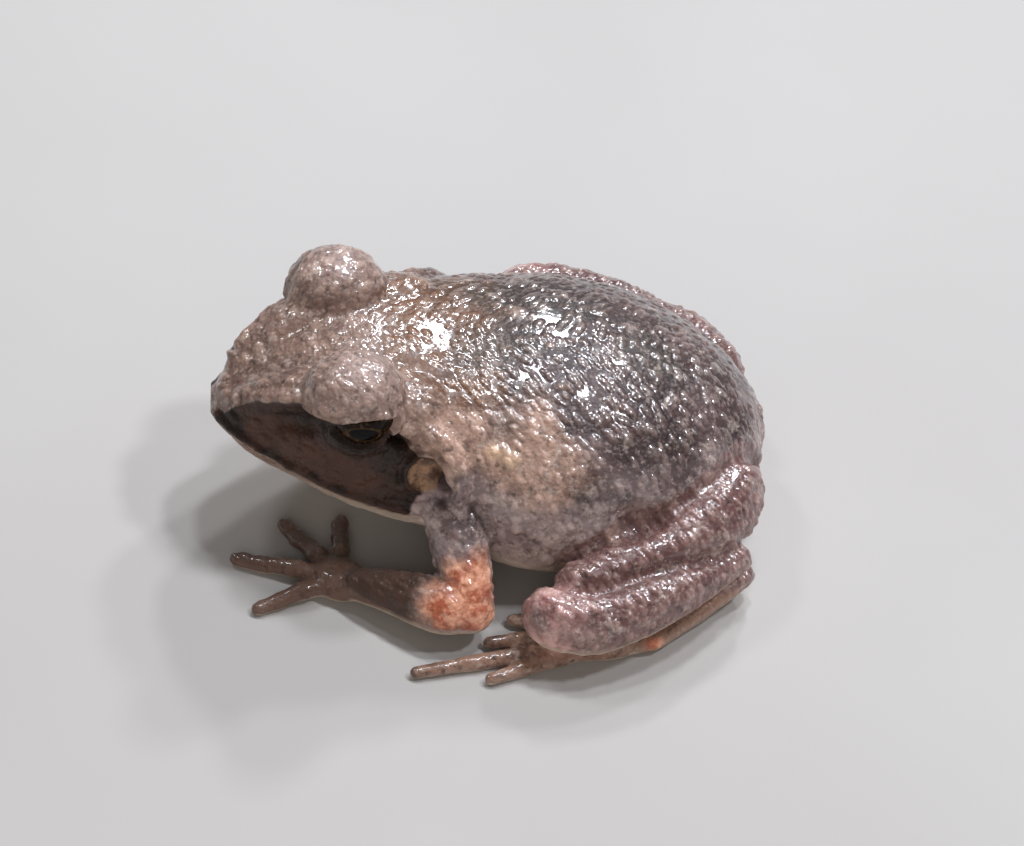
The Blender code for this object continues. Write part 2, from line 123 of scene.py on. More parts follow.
# The fold from the eye over and behind the ear: x, z, radius, and how far its middle stands off the flank.
FOLD = [
    (8.2, 17.0, 0.6, -0.2),
    (6.6, 15.9, 0.8, -0.1),
    (4.6, 14.9, 1.0, 0.0),
    (3.0, 13.0, 1.15, 0.1),
    (2.7, 10.6, 1.1, 0.1),
    (3.1, 8.4, 0.8, -0.2),
]

# The ridge from the brow to the nostril: x, y, z and radius.
CANTHUS = [(12.6, 4.8, 16.4, 2.6), (15.4, 3.9, 15.3, 2.5), (17.8, 2.8, 14.2, 2.1), (19.6, 2.0, 13.3, 1.5)]

# The mouth line along the side of the head: x and z from the snout back to the corner of the jaw.
MOUTH = [(21.7, 10.4), (19.9, 9.9), (17.0, 9.0), (12.5, 8.1), (8.0, 7.3), (4.9, 6.9)]
LIP_RISE = 0.75
LIP_RADIUS = 0.55
LIP_DEPTH = 0.32

# Limbs of the left side: x, y, z and radius down the middle of each stretch.
UPPER_ARM = [(2.6, 6.8, 9.0, 3.2), (2.2, 10.8, 7.6, 2.9), (1.6, 14.4, 5.3, 2.4), (1.2, 16.9, 3.4, 2.2)]
FOREARM = [(1.0, 17.4, 3.0, 2.1), (3.6, 17.1, 3.0, 2.3), (6.8, 15.4, 2.5, 1.9), (9.8, 14.0, 1.8, 1.4)]
PALM_CENTRE = (11.4, 12.6, 1.0)
PALM_RADII = (2.6, 2.2, 1.25)
PALM_TURN = math.radians(-35.0)
# Each finger's direction in degrees from the snout, and its length.
FINGERS = [(-92.0, 5.0), (-55.0, 5.8), (-16.0, 6.8), (24.0, 5.4)]
FINGER_ROOT_RADIUS = 0.85
FINGER_TIP_RADIUS = 0.62
FINGER_ARCH = 0.55

THIGH = [(-20.0, 7.0, 6.4, 4.1), (-18.2, 10.4, 6.1, 4.0), (-13.9, 13.8, 6.0, 3.1), (-7.4, 17.4, 5.0, 2.5)]
SHANK = [(-6.0, 19.2, 4.4, 2.9), (-9.2, 19.4, 4.2, 2.8), (-14.6, 16.9, 4.7, 2.6), (-20.8, 12.5, 4.6, 1.9)]
TARSUS = [(-21.7, 12.4, 2.3, 1.6), (-18.4, 14.9, 1.1, 1.4), (-14.4, 17.8, 0.9, 1.45)]
METATARSUS = [(-14.4, 17.8, 0.9, 1.5), (-10.8, 18.5, 0.8, 1.9), (-8.0, 18.8, 0.7, 1.8)]
FOOT_FLATNESS = 0.72
# The x and y of each toe's root, middle and tip, from the innermost. The third toe stops short of the elbow
# above it, so that the skin stays open between them.
TOES = [
    [(-10.0, 17.2), (-7.8, 16.0), (-5.6, 15.2)],
    [(-9.2, 17.8), (-6.0, 16.8), (-2.8, 16.4)],
    [(-8.8, 18.4), (-4.6, 18.4), (-0.7, 18.9)],
    [(-8.4, 19.0), (-2.2, 20.4), (5.4, 22.2)],
    [(-9.0, 19.4), (-4.8, 21.0), (-0.6, 22.8)],
]
TOE_ROOT_RADIUS = 0.85
TOE_TIP_RADIUS = 0.55
TOE_HEIGHT = 0.55
WEB_SHARE = 0.42
WEB_THICKNESS = 0.5
SPADE_CENTRE = (-12.8, 15.7, 0.8)
SPADE_RADII = (1.9, 0.8, 0.95)
SPADE_TURN = math.radians(20.0)

# Knuckles: their places along a digit, how much wider they are, and over what share of its length.
KNUCKLES = (0.36, 0.68)
KNUCKLE_SWELL = 0.13
KNUCKLE_SPREAD = 0.07

# The lids of the left eye: the direction in which they open, the opening's half length and half height in
# radians, how pointed its corners are and how it slants. Then how thick the lid and its two rims are, how
# deep the crease behind the rim is, and where each lies, from 0 in the opening's middle to 1 on its edge.
LID_AXIS = Vector((0.12, 0.98, -0.05))
LID_HALF_LENGTH = 1.04
LID_HALF_HEIGHT = 0.50
LID_POINT = 0.25
LID_SLANT = math.radians(-13.0)
LID_THICKNESS = 0.38
UPPER_RIM = 0.14
LOWER_RIM = 0.18
LID_CREASE = 0.04
RIM_PLACE = 1.14
RIM_WIDTH = 0.22
CREASE_PLACE = 1.52
CREASE_WIDTH = 0.16
LID_REACH = 2.0
SOCKET_DEPTH = 0.35

# The eyeball: how much smaller it is away from the cornea, where the cornea rises, as shares of the radius
# along the gaze, and the pupil's half length and half height as shares of the radius.
EYE_SINK = 0.035
CORNEA_EDGE = (0.68, 0.9)
PUPIL_HALF_LENGTH = 0.42
PUPIL_HALF_HEIGHT = 0.24

# Lines on the left of the straight head: x, y and z.
SNOUT_EDGE = [
    (13.4, 8.9, 17.9),
    (14.9, 7.4, 17.4),
    (16.4, 6.0, 16.75),
    (17.7, 5.0, 16.25),
    (19.0, 3.9, 15.45),
    (19.9, 3.1, 14.7),
    (20.8, 2.3, 13.6),
]
SNOUT_HOLLOW = [(13.0, 8.2, 15.5), (16.2, 6.3, 14.4), (19.6, 4.2, 13.0)]
EAR_FOLD_POCKET = [
    (9.8, 9.7, 16.0),
    (8.6, 9.3, 15.2),
    (7.6, 9.1, 14.4),
    (6.7, 9.3, 13.8),
    (5.8, 9.6, 13.4),
    (5.0, 10.0, 12.9),
    (4.5, 10.5, 12.2),
    (4.3, 11.0, 11.3),
    (4.4, 11.3, 10.4),
]
EAR_FOLD_EDGE = [
    (8.9, 9.3, 16.2),
    (7.6, 9.3, 15.3),
    (6.3, 9.4, 14.8),
    (4.9, 9.8, 14.2),
    (3.8, 10.4, 13.4),
    (3.1, 10.7, 12.2),
    (3.0, 11.1, 10.9),
]
LID_FOOT = [(16.4, 3.9, 17.2), (14.2, 3.2, 18.4), (12.0, 2.9, 18.9), (9.6, 3.2, 18.7), (7.9, 4.6, 18.4)]

# Ridges on the face, and grooves where the rise is negative: the line, its rise, its width, and the share of
# its length over which each end fades.
END_FADE = 0.06
FACE_LINES = [
    (SNOUT_EDGE, 0.38, 0.55, END_FADE),
    (SNOUT_HOLLOW, -0.75, 1.25, 0.45),
    (EAR_FOLD_EDGE, 0.30, 0.5, END_FADE),
    (EAR_FOLD_POCKET, -1.1, 0.5, END_FADE),
    (LID_FOOT, -0.16, 0.45, END_FADE),
]
# The mouth and the swell of the lips over and under it: how far above the mouth line, the rise and the width.
MOUTH_LINES = [(0.0, -0.5, 0.24), (LIP_RISE + 0.1, 0.16, 0.5), (-0.8, 0.12, 0.5)]

# The upper edge of the dark side of the head, as x and z from back to front, and how far above the mouth line
# its lower edge lies. The dark is partly the head's own brown side and partly painted shade under the snout's
# ridge and the lids.
MASK_TOP = [
    (3.0, 12.6),
    (4.6, 13.2),
    (5.7, 13.7),
    (6.7, 13.8),
    (7.9, 14.8),
    (9.1, 16.4),
    (10.6, 17.3),
    (13.1, 17.8),
    (14.9, 17.3),
    (16.4, 16.6),
    (17.7, 16.1),
    (19.0, 15.3),
    (19.9, 14.5),
    (20.8, 13.4),
    (21.6, 12.2),
]
MASK_FOOT = 0.45

LIMBS = {"upper_arm": UPPER_ARM, "forearm": FOREARM, "thigh": THIGH, "shank": SHANK, "tarsus": TARSUS}
# Two forms that press together, and the depth and width of the fold between them.
CREASES = [
    ("thigh", "shank", 0.55, 0.7),
    ("thigh", "trunk", 0.40, 0.7),
    ("upper_arm", "trunk", 0.18, 0.9),
    ("shank", "tarsus", 0.35, 0.5),
]
CREASE_REACH = (0.9, 2.2)

# The hollow of the groin: its middle, its reach along x, y and z, and its depth.
GROIN = (-12.3, 13.3, 9.3)
GROIN_REACH = (2.3, 1.2, 1.6)
GROIN_DEPTH = 1.2

# Warts of three sizes: how far apart, the least and greatest radius as shares of that, and a random seed. The
# grain runs in slanting rows, a little stretched across the animal.
WARTS = {"grain": (0.92, 0.42, 0.62, 11), "beads": (0.46, 0.22, 0.48, 23), "knobs": (3.3, 0.08, 0.26, 31)}
GRAIN_SLANT = 0.69
GRAIN_STRETCH = 0.72
GRAIN_HEIGHT = 0.16
LEG_GRAIN = 0.02
KNOB_HEIGHT = 0.15
BEAD_HEIGHT = 0.018
HEAD_BEADS = 0.03
JOINT_BEADS = 0.05
WRINKLE_HEIGHT = 0.11

# Places on the skin: x, y and z.
VENT = (-24.4, 0.0, 8.0)
LID_TOP = (11.5, 6.8, 20.4)
CHEEK_PLACES = [(18.8, 4.8, 12.4), (17.0, 6.0, 12.0), (15.2, 7.1, 11.6), (13.4, 8.2, 11.2), (11.4, 9.2, 10.8)]
SHOULDER_WARTS = [(-0.4, 10.5, 14.2), (-1.7, 10.9, 13.7), (-2.6, -12.6, 11.4)]
HEEL_LUMP = (-14.5, 20.0, 1.5)
ELBOW_PLACES = [(0.6, 18.0, 3.4), (1.2, 16.9, 5.2), (3.2, 18.0, 3.8)]
OCHRE_PLACES = [(4.2, 4.4, 17.3), (5.9, 3.0, 17.4), (5.0, 0.0, 17.8), (1.6, 5.4, 17.3), (1.0, 1.4, 17.8)]
MOSS_PLACES = [
    (-2.3, 0.5, 17.8),
    (0.4, 2.2, 17.7),
    (-6.0, -3.0, 17.7),
    (-13.0, 1.0, 16.5),
    (-1.0, -5.0, 17.0),
]
BLUSH_PLACES = [(-5.0, 11.8, 13.4), (-1.5, 10.6, 14.2), (-3.2, 9.9, 15.0), (2.5, 9.5, 14.5)]

# The camera stands as the photograph's did: millimetres, degrees, and pixels of a frame 1024 by 846.
FRAME_WIDTH = 1024
FRAME_HEIGHT = 846
VIEW_AZIMUTH = math.radians(171.8)
VIEW_ELEVATION = math.radians(44.4)
VIEW_ROLL = math.radians(7.2)
VIEW_DISTANCE = 248.0
VIEW_TARGET = (1.078, 0.0, 8.0)
VIEW_CENTRE = (476.0, 415.0)
PIXELS_PER_MILLIMETRE = 11.83
SENSOR_WIDTH = 36.0

# The floor's reach from the middle and its rise there, in metres.
FLOOR_PROFILE = [(1.2, 0.0), (1.6, 0.04), (2.0, 0.18), (2.35, 0.45), (2.55, 0.85), (2.65, 1.4), (2.68, 2.2)]
FLOOR_SIDES = 96

# The sky, and the small lights over the back: how far along and across the animal each leans, and its power
# in watts, then how far off they all stand and how wide they are in metres.
SKY_COLOUR = (0.80, 0.86, 0.95, 1.0)
SKY_STRENGTH = 0.16
LIGHT_FAN = [
    (-0.05, -0.32, 1.8),
    (-0.27, -0.20, 2.3),
    (-0.50, 0.02, 2.1),
    (-0.20, -0.72, 1.9),
    (-0.44, -0.60, 1.6),
]
LIGHT_REACH = 0.82
LIGHT_SIZE = 0.07
LIGHT_COLOUR = (0.90, 0.93, 1.0)

# Washes of colour over the skin, in turn: the mark that each follows, the scale of its ragged edge, or None
# for an even one, its strength, and its colour on a screen.
REGION_WASHES = [
    ("head", 300.0, 0.9, (152, 122, 106)),
    # The pink on the shoulders is the skin's own, with painted light that makes the animal's left side
    # lighter.
    ("blush_and_painted_light", 240.0, 0.8, (216, 176, 154)),
    # The lids' tops are painted paler and greyer: the grey is their own, the paleness a painted highlight.
    ("lid", None, 0.6, (194, 168, 158)),
    ("ochre", 260.0, 0.85, (122, 80, 46)),
    ("moss", 300.0, 0.6, (70, 66, 58)),
    ("leg", 300.0, 0.6, (146, 102, 96)),
]
WART_WASHES = [
    ("digits", 500.0, 0.75, (158, 122, 100)),
    # Painted shade darkens the hollows between the warts.
    ("shaded_hollows", None, 0.30, (44, 32, 32)),
    ("beads", None, 0.24, (196, 174, 162)),
    ("grain", None, 0.24, (186, 164, 152)),
    ("knobs", None, 0.5, (186, 156, 136)),
]
LAST_WASHES = [
    ("under", None, 0.92, (212, 194, 174)),
    ("wart", None, 0.9, (232, 196, 160)),
    # Painted shadow in the pocket under the fold over the ear.
    ("fold", None, 0.8, (26, 18, 16)),
    # Painted shade darkens the nostrils and the vent.
    ("pit_shade", None, 0.9, (26, 16, 14)),
]

# Flecks of colour: the noise's scale, detail and roughness, the two levels between which a fleck comes up,
# its strength, and its colour on a screen.
BARS = (190.0, 3.0, 0.6, 0.54, 0.62, 0.36, (66, 54, 50))
FLECKS = [
    (620.0, 5.0, 0.65, 0.52, 0.64, 0.5, (78, 52, 48)),
    (760.0, 5.0, 0.7, 0.54, 0.68, 0.42, (214, 194, 182)),
    (1500.0, 3.0, 0.5, 0.55, 0.70, 0.55, (48, 38, 34)),
    (1900.0, 2.0, 0.5, 0.60, 0.74, 0.35, (206, 186, 172)),
]


def through(rows, steps):
    """A smooth run of rows that passes through each given row."""
    rows = np.asarray(rows, float)
    padded = np.vstack([2 * rows[0] - rows[1], rows, 2 * rows[-1] - rows[-2]])
    t = np.linspace(0.0, 1.0, steps, endpoint=False)[:, None]
    spans = []
    for a, b, c, d in zip(padded, padded[1:], padded[2:], padded[3:]):
        bend = (2 * a - 5 * b + 4 * c - d) * t**2
        turn = (3 * b - a - 3 * c + d) * t**3
        spans.append(0.5 * (2 * b + (c - a) * t + bend + turn))
    return np.vstack(spans + [rows[-1:]])


def ease(value, start, end):
    """0 before the start, 1 after the end, and a smooth rise between them."""
    share = np.clip((np.asarray(value, float) - start) / (end - start), 0.0, 1.0)
    return share * share * (3.0 - 2.0 * share)


def hump(value, middle, width):
    """1 at the middle, falling smoothly to 0 on both sides."""
    return np.exp(-(((np.asarray(value, float) - middle) / width) ** 2))


def swing(points, way=1.0):
    """Points of the straight head moved with the head's swing, or back again with way at -1."""
    points = np.asarray(points, float)
    moved = points.copy()
    for _ in range(1 if way > 0 else 4):
        straight = points if way > 0 else moved
        angle = way * HEAD_TURN * ease(straight[:, 0], TURN_START, TURN_END)
        reach = points[:, 0] - TURN_START
        moved = np.column_stack(
            [
                TURN_START + reach * np.cos(angle) - points[:, 1] * np.sin(angle),
                reach * np.sin(angle) + points[:, 1] * np.cos(angle),
                points[:, 2],
            ]
        )
    return moved


def mesh_object(name, mesh):
    item = bpy.data.objects.new(name, mesh)
    bpy.context.scene.collection.objects.link(item)
    return item


def object_from_bmesh(name, shape):
    bmesh.ops.recalc_face_normals(shape, faces=shape.faces)
    mesh = bpy.data.meshes.new(name)
    shape.to_mesh(mesh)
    shape.free()
    return mesh_object(name, mesh)


def places(item):
    """Where each of the item's vertices lies."""
    values = np.empty(len(item.data.vertices) * 3, np.float32)
    item.data.vertices.foreach_get("co", values)
    return values.reshape(-1, 3).astype(float)


def put(item, points):
    """Move the item's vertices to these points."""
    item.data.vertices.foreach_set("co", points.astype(np.float32).ravel())
    item.data.update()


def swing_head(item):
    put(item, swing(places(item)))
    return item


def section_point(row, angle):
    """A point of the trunk's section at this angle, measured from the animal's left upwards."""
    x, low, middle, top, half_width, top_power = row
    across = math.cos(angle)
    upward = math.sin(angle)
    power = top_power if upward > 0 else UNDERSIDE_POWER
    height = top - middle if upward > 0 else middle - low
    y = half_width * math.copysign(abs(across) ** (2.0 / power), across)
    z = middle + height * math.copysign(abs(upward) ** (2.0 / power), upward)
    return (x, y, z)


def flank_y(x, z):
    """How far out the straight trunk's side lies at this x and z."""
    rows = through(TRUNK, RINGS_PER_SPAN)
    low, middle, top, half_width, top_power = [np.interp(x, rows[:, 0], rows[:, k]) for k in range(1, 6)]
    power = top_power if z > middle else UNDERSIDE_POWER
    height = top - middle if z > middle else middle - low
    share = min(abs(z - middle) / height, 1.0)
    return half_width * (1.0 - share**power) ** (1.0 / power)


def trunk():
    """The trunk and head in one, lofted through the sections."""
    shape = bmesh.new()
    rings = []
    for row in through(TRUNK, RINGS_PER_SPAN):
        angles = [2.0 * math.pi * k / RING_POINTS for k in range(RING_POINTS)]
        rings.append([shape.verts.new(section_point(row, angle)) for angle in angles])
    for ring, onward in zip(rings, rings[1:]):
        for k in range(RING_POINTS):
            following = (k + 1) % RING_POINTS
            shape.faces.new((ring[k], ring[following], onward[following], onward[k]))
    shape.faces.new(rings[0])
    shape.faces.new(rings[-1])
    return swing_head(object_from_bmesh("trunk", shape))


def ball(centre, radii, side=1, turn=0.0):
    """An ellipsoid, turned about the upright axis and placed on one side of the animal."""
    shape = bmesh.new()
    bmesh.ops.create_uvsphere(shape, u_segments=ROUND_RINGS + 8, v_segments=ROUND_RINGS, radius=1.0)
    x, y, z = centre
    place = Matrix.Translation((x, y * side, z)) @ Matrix.Rotation(turn * side, 4, "Z")
    bmesh.ops.transform(shape, matrix=place @ Matrix.Diagonal([*radii, 1.0]), verts=shape.verts)
    return object_from_bmesh("ball", shape)


def rounded(rows):
    """The rows of a tube with a half round added past each end."""
    caps = []
    for row, direction in ((rows[0], rows[0] - rows[1]), (rows[-1], rows[-1] - rows[-2])):
        step = direction[:3] / np.linalg.norm(direction[:3])
        cap = []
        for angle in np.radians([18.0, 36.0, 52.0, 66.0, 78.0, 86.0]):
            centre = row[:3] + step * row[3] * math.sin(angle)
            cap.append([*centre, row[3] * math.cos(angle)])
        caps.append(np.array(cap))
    return np.vstack([caps[0][::-1], rows, caps[1]])


def tube(rows, side=1, flatness=1.0, knuckles=()):
    """A round limb along a smooth line, with half-round ends, drawn lower than wide where it is flattened."""
    line = through(rows, LIMB_STEPS)
    share = np.linspace(0.0, 1.0, len(line))
    for knuckle in knuckles:
        line[:, 3] *= 1.0 + KNUCKLE_SWELL * hump(share, knuckle, KNUCKLE_SPREAD)
    line = rounded(line)
    curve = bpy.data.curves.new("limb", "CURVE")
    curve.dimensions = "3D"
    curve.bevel_depth = 1.0
    curve.bevel_resolution = 6
    curve.use_fill_caps = True
    spline = curve.splines.new("POLY")
    spline.points.add(len(line) - 1)
    for point, (x, y, z, radius) in zip(spline.points, line):
        point.co = (x, y * side, z, 1.0)
        point.radius = radius
    source = mesh_object("limb", curve)
    mesh = bpy.data.meshes.new_from_object(source.evaluated_get(bpy.context.evaluated_depsgraph_get()))
    bpy.data.objects.remove(source)
    shape = bmesh.new()
    shape.from_mesh(mesh)
    bmesh.ops.remove_doubles(shape, verts=shape.verts, dist=0.0001)
    for vertex in shape.verts:
        nearest = line[np.argmin(np.abs(line[:, 0] - vertex.co.x))]
        vertex.co.z = nearest[2] + (vertex.co.z - nearest[2]) * flatness
    return object_from_bmesh("limb", shape)


def mouth_rows(radius, rise, out):
    """A line along the mouth from the jaw's corner to the middle of the snout."""
    rows = []
    for x, z in MOUTH[::-1]:
        rows.append((x, flank_y(x, z + rise) + out, z + rise, radius))
    rows.append((MOUTH[0][0] + 0.45, 0.0, MOUTH[0][1] + rise, radius))
    return rows


def fold_rows():
    """The fold over the ear, laid on the flank."""
    return [(x, flank_y(x, z) + out, z, radius) for x, z, radius, out in FOLD]


def finger_rows(angle, length):
    """A finger that leaves the palm at this angle, arches and comes down on its tip."""
    direction = Vector((math.cos(angle), math.sin(angle), 0.0))
    root = Vector(PALM_CENTRE) + direction * 0.8
    rows = []
    for share in (0.0, 0.35, 0.7, 1.0):
        centre = root + direction * (length + 1.2) * share
        arch = FINGER_ARCH * math.sin(math.pi * min(share * 1.3, 1.0))
        radius = FINGER_ROOT_RADIUS + (FINGER_TIP_RADIUS - FINGER_ROOT_RADIUS) * share
        rows.append((centre.x, centre.y, 0.45 + arch, radius))
    return rows


def toe_rows(line):
    """A toe that lies flat and narrows to its tip."""
    rows = []
    for share, (x, y) in zip((0.0, 0.5, 1.0), line):
        radius = TOE_ROOT_RADIUS + (TOE_TIP_RADIUS - TOE_ROOT_RADIUS) * share
        rows.append((x, y, TOE_HEIGHT, radius))
    return rows


def web(inner, outer, side):
    """A thin fin that fills the fork between two toes and hollows towards its free edge."""
    one = through([(x, y, 0.0) for x, y in inner], 12)
    two = through([(x, y, 0.0) for x, y in outer], 12)
    reach = int(WEB_SHARE * len(one))
    middle = (one[reach // 2] + two[reach // 2]) / 2.0
    outline = [*one[: reach + 1], middle, *two[: reach + 1][::-1]]
    shape = bmesh.new()
    low = TOE_HEIGHT - WEB_THICKNESS / 2.0
    face = shape.faces.new([shape.verts.new((x, y * side, low)) for x, y, _ in outline])
    raised = bmesh.ops.extrude_face_region(shape, geom=[face])["geom"]
    tops = [item for item in raised if isinstance(item, bmesh.types.BMVert)]
    bmesh.ops.translate(shape, vec=(0.0, 0.0, WEB_THICKNESS), verts=tops)
    bmesh.ops.triangulate(shape, faces=shape.faces)
    return object_from_bmesh("web", shape)


def head_forms(side):
    rounds = [(BROW_CENTRE, BROW_RADII), (TEMPLE_CENTRE, TEMPLE_RADII), (CHEEK_CENTRE, CHEEK_RADII)]
    forms = [ball(centre, radii, side) for centre, radii in rounds]
    forms.append(tube(fold_rows(), side))
    forms.append(tube(CANTHUS, side))
    forms.append(tube(mouth_rows(LIP_RADIUS, LIP_RISE, -LIP_DEPTH), side))
    return [swing_head(form) for form in forms]


def arm_forms(side):
    forms = [tube(UPPER_ARM, side), tube(FOREARM, side), ball(PALM_CENTRE, PALM_RADII, side, PALM_TURN)]
    for angle, length in FINGERS:
        forms.append(tube(finger_rows(math.radians(angle), length), side, knuckles=KNUCKLES))
    return forms


def leg_forms(side):
    forms = [tube(THIGH, side), tube(SHANK, side)]
    forms += [tube(TARSUS, side, FOOT_FLATNESS), tube(METATARSUS, side, FOOT_FLATNESS)]
    for line in TOES:
        forms.append(tube(toe_rows(line), side, knuckles=KNUCKLES))
    for inner, outer in zip(TOES, TOES[1:]):
        forms.append(web(inner, outer, side))
    forms.append(ball(SPADE_CENTRE, SPADE_RADII, side, SPADE_TURN))
    return forms


def joined(name, items):
    """All the items' meshes in one object; the items are used up."""
    shape = bmesh.new()
    for item in items:
        shape.from_mesh(item.data)
        bpy.data.objects.remove(item)
    return object_from_bmesh(name, shape)


def apply_modifiers(item):
    """Turn what the item's modifiers show into its own mesh."""
    mesh = bpy.data.meshes.new_from_object(item.evaluated_get(bpy.context.evaluated_depsgraph_get()))
    item.modifiers.clear()
    item.data = mesh
    return item


def keep_largest(item):
    """Drop every loose scrap, so that one closed surface stays."""
    shape = bmesh.new()
    shape.from_mesh(item.data)
    unseen = set(shape.verts)
    groups = []
    while unseen:
        stack = [unseen.pop()]
        group = []
        while stack:
            vertex = stack.pop()
            group.append(vertex)
            for edge in vertex.link_edges:
                other = edge.other_vert(vertex)
                if other in unseen:
                    unseen.remove(other)
                    stack.append(other)
        groups.append(group)
    groups.sort(key=len)
    for group in groups[:-1]:
        bmesh.ops.delete(shape, geom=group, context="VERTS")
    shape.to_mesh(item.data)
    shape.free()


def bare_skin():
    """One even surface round all the forms, eased where they meet."""
    forms = [trunk()]
    for side in SIDES.values():
        forms += head_forms(side) + arm_forms(side) + leg_forms(side)
    skin = joined("skin", forms)
    cover = skin.modifiers.new("cover", "REMESH")
    cover.mode = "VOXEL"
    cover.voxel_size = SKIN_CELL
    relax = skin.modifiers.new("relax", "SMOOTH")
    relax.factor = RELAX_FACTOR
    relax.iterations = RELAX_STEPS
    keep_largest(apply_modifiers(skin))
    refine = skin.modifiers.new("refine", "SUBSURF")
    refine.levels = 1
    refine.render_levels = 1
    return apply_modifiers(skin)


def facing(item):
    """The direction in which the surface faces at each vertex."""
    values = np.empty(len(item.data.vertices) * 3, np.float32)
    item.data.vertices.foreach_get("normal", values)
    return values.reshape(-1, 3).astype(float)


def scatter(cells, seed):
    """Three even random numbers for each cell of a grid, the same at each run."""
    mix = np.array([[127.1, 269.5, 113.5], [311.7, 183.3, 271.9], [74.7, 246.1, 124.6]])
    wave = np.sin(cells @ mix + seed * 17.13) * 43758.5453
    return wave - np.floor(wave)


def ripple(points, size, seed):
    """Smooth noise between -1 and 1 with waves of about the given size."""
    grid = points / size
    cells = np.floor(grid)
    share = grid - cells
    share = share * share * (3.0 - 2.0 * share)
    total = np.zeros(len(points))
    for corner in itertools.product((0.0, 1.0), repeat=3):
        weight = np.prod(np.where(corner, share, 1.0 - share), axis=1)
        total += weight * scatter(cells + corner, seed)[:, 0]
    return 2.0 * total - 1.0


def warts(points, spacing, low_radius, high_radius, seed):
    """Rounded bumps scattered at about this spacing: 1 on a bump's crown and 0 between bumps."""
    grid = points / spacing
    cells = np.floor(grid)
    crown = np.zeros(len(points))
    for offset in itertools.product((-1.0, 0.0, 1.0), repeat=3):
        cell = cells + offset
        middle = cell + 0.15 + 0.7 * scatter(cell, seed)
        radius = low_radius + (high_radius - low_radius) * scatter(cell, seed + 5)[:, 0]
        distance = np.linalg.norm(grid - middle, axis=1)
        crown = np.maximum(crown, 1.0 - (distance / radius) ** 2)
    return np.clip(crown, 0.0, 1.0)


def along(points, rows):
    """How far each point is from a limb's middle line, the radius there, and the share of its length."""
    line = through(rows, LINE_STEPS)
    best = np.full(len(points), np.inf)
    radius = np.zeros(len(points))
    share = np.zeros(len(points))
    count = len(line) - 1
    for k, (a, b) in enumerate(zip(line, line[1:])):
        span = b[:3] - a[:3]
        t = np.clip((points - a[:3]) @ span / (span @ span), 0.0, 1.0)
        distance = np.linalg.norm(points - a[:3] - t[:, None] * span, axis=1)
        nearer = distance < best
        best[nearer] = distance[nearer]
        radius[nearer] = (a[3] + (b[3] - a[3]) * t)[nearer]
        share[nearer] = (k + t[nearer]) / count
    return best, radius, share


def cover_of(points, rows):
    """1 where the skin lies over this limb and 0 away from it."""
    distance, radius, _ = along(points, rows)
    return 1.0 - ease(distance - radius, 0.5, 1.4)


def mirrored_left(points):
    """The points with those of the right side brought over to the left."""
    return np.column_stack([points[:, 0], np.abs(points[:, 1]), points[:, 2]])


def lid_ring(arm):
    """Each direction from the eye: 1 on the lids' edge and less inside it, how far above, and its tilt."""
    axis = np.array(LID_AXIS.normalized())
    ahead = np.cross([0.0, 0.0, 1.0], -axis)
    ahead /= np.linalg.norm(ahead)
    above = np.cross(axis, ahead)
    above *= np.sign(above[2])
    tilt = np.arccos(np.clip(arm @ axis, -1.0, 1.0))
    across = arm @ ahead
    upward = arm @ above
    scale = tilt / np.maximum(np.hypot(across, upward), 1e-6)
    u = (across * math.cos(LID_SLANT) + upward * math.sin(LID_SLANT)) * scale / LID_HALF_LENGTH
    v = (upward * math.cos(LID_SLANT) - across * math.sin(LID_SLANT)) * scale / LID_HALF_HEIGHT
    v /= 1.0 - LID_POINT * np.minimum(u * u, 1.0)
    return np.hypot(u, v), v, tilt


def drape_lids(head):
    """Draw the skin over each eyeball, with a thick rim round the opening, and sink it inside the opening."""
    side = np.where(head[:, 1] >= 0.0, 1.0, -1.0)
    points = mirrored_left(head)
    arm = points - np.array(EYE_CENTRE)
    distance = np.linalg.norm(arm, axis=1)
    arm /= np.maximum(distance, 1e-6)[:, None]
    ring, above, tilt = lid_ring(arm)
    rim = LOWER_RIM + (UPPER_RIM - LOWER_RIM) * ease(above, -0.5, 0.5)
    lid = EYE_RADIUS + LID_THICKNESS + rim * hump(ring, RIM_PLACE, RIM_WIDTH)
    lid -= LID_CREASE * hump(ring, CREASE_PLACE, CREASE_WIDTH)
    sunk = EYE_RADIUS - SOCKET_DEPTH
    wanted = sunk + (lid - sunk) * ease(ring, 0.93, 1.04)
    draped = wanted + np.maximum(distance - wanted, 0.0) * ease(ring, 1.02, 1.7)
    hold = (1.0 - ease(ring, 1.35, LID_REACH)) * (distance < EYE_RADIUS + 4.0) * (tilt < 2.2)
    points += arm * ((draped - distance) * hold)[:, None]
    points[:, 1] *= side
    return points, ring


def ear_height(points):
    """A tight drum in a raised ring, dished, with a low boss in its middle."""
    x, z = EAR_CENTRE
    beside = ease(points[:, 1], 5.0, 7.0)
    reach = np.hypot(points[:, 0] - x, points[:, 2] - z)
    ring = 0.26 * hump(reach, EAR_RADIUS, 0.24)
    dish = -0.34 * (1.0 - ease(reach, 0.7, EAR_RADIUS))
    boss = 0.13 * hump(reach, 0.0, 0.5)
    moat = -0.22 * hump(reach, EAR_RADIUS + 0.55, 0.26)
    return (ring + dish + boss + moat) * beside, (1.0 - ease(reach, 1.5, 1.85)) * beside


def line_height(points, line, rise, width, fade=END_FADE):
    """A ridge along a line on the skin, or a groove where the rise is negative; it fades at its ends."""
    rows = np.column_stack([np.array(line)[:, :3], np.zeros(len(line))])
    distance, _, share = along(points, rows)
    return rise * hump(distance, 0.0, width) * ease(share, 0.0, fade) * ease(1.0 - share, 0.0, fade)


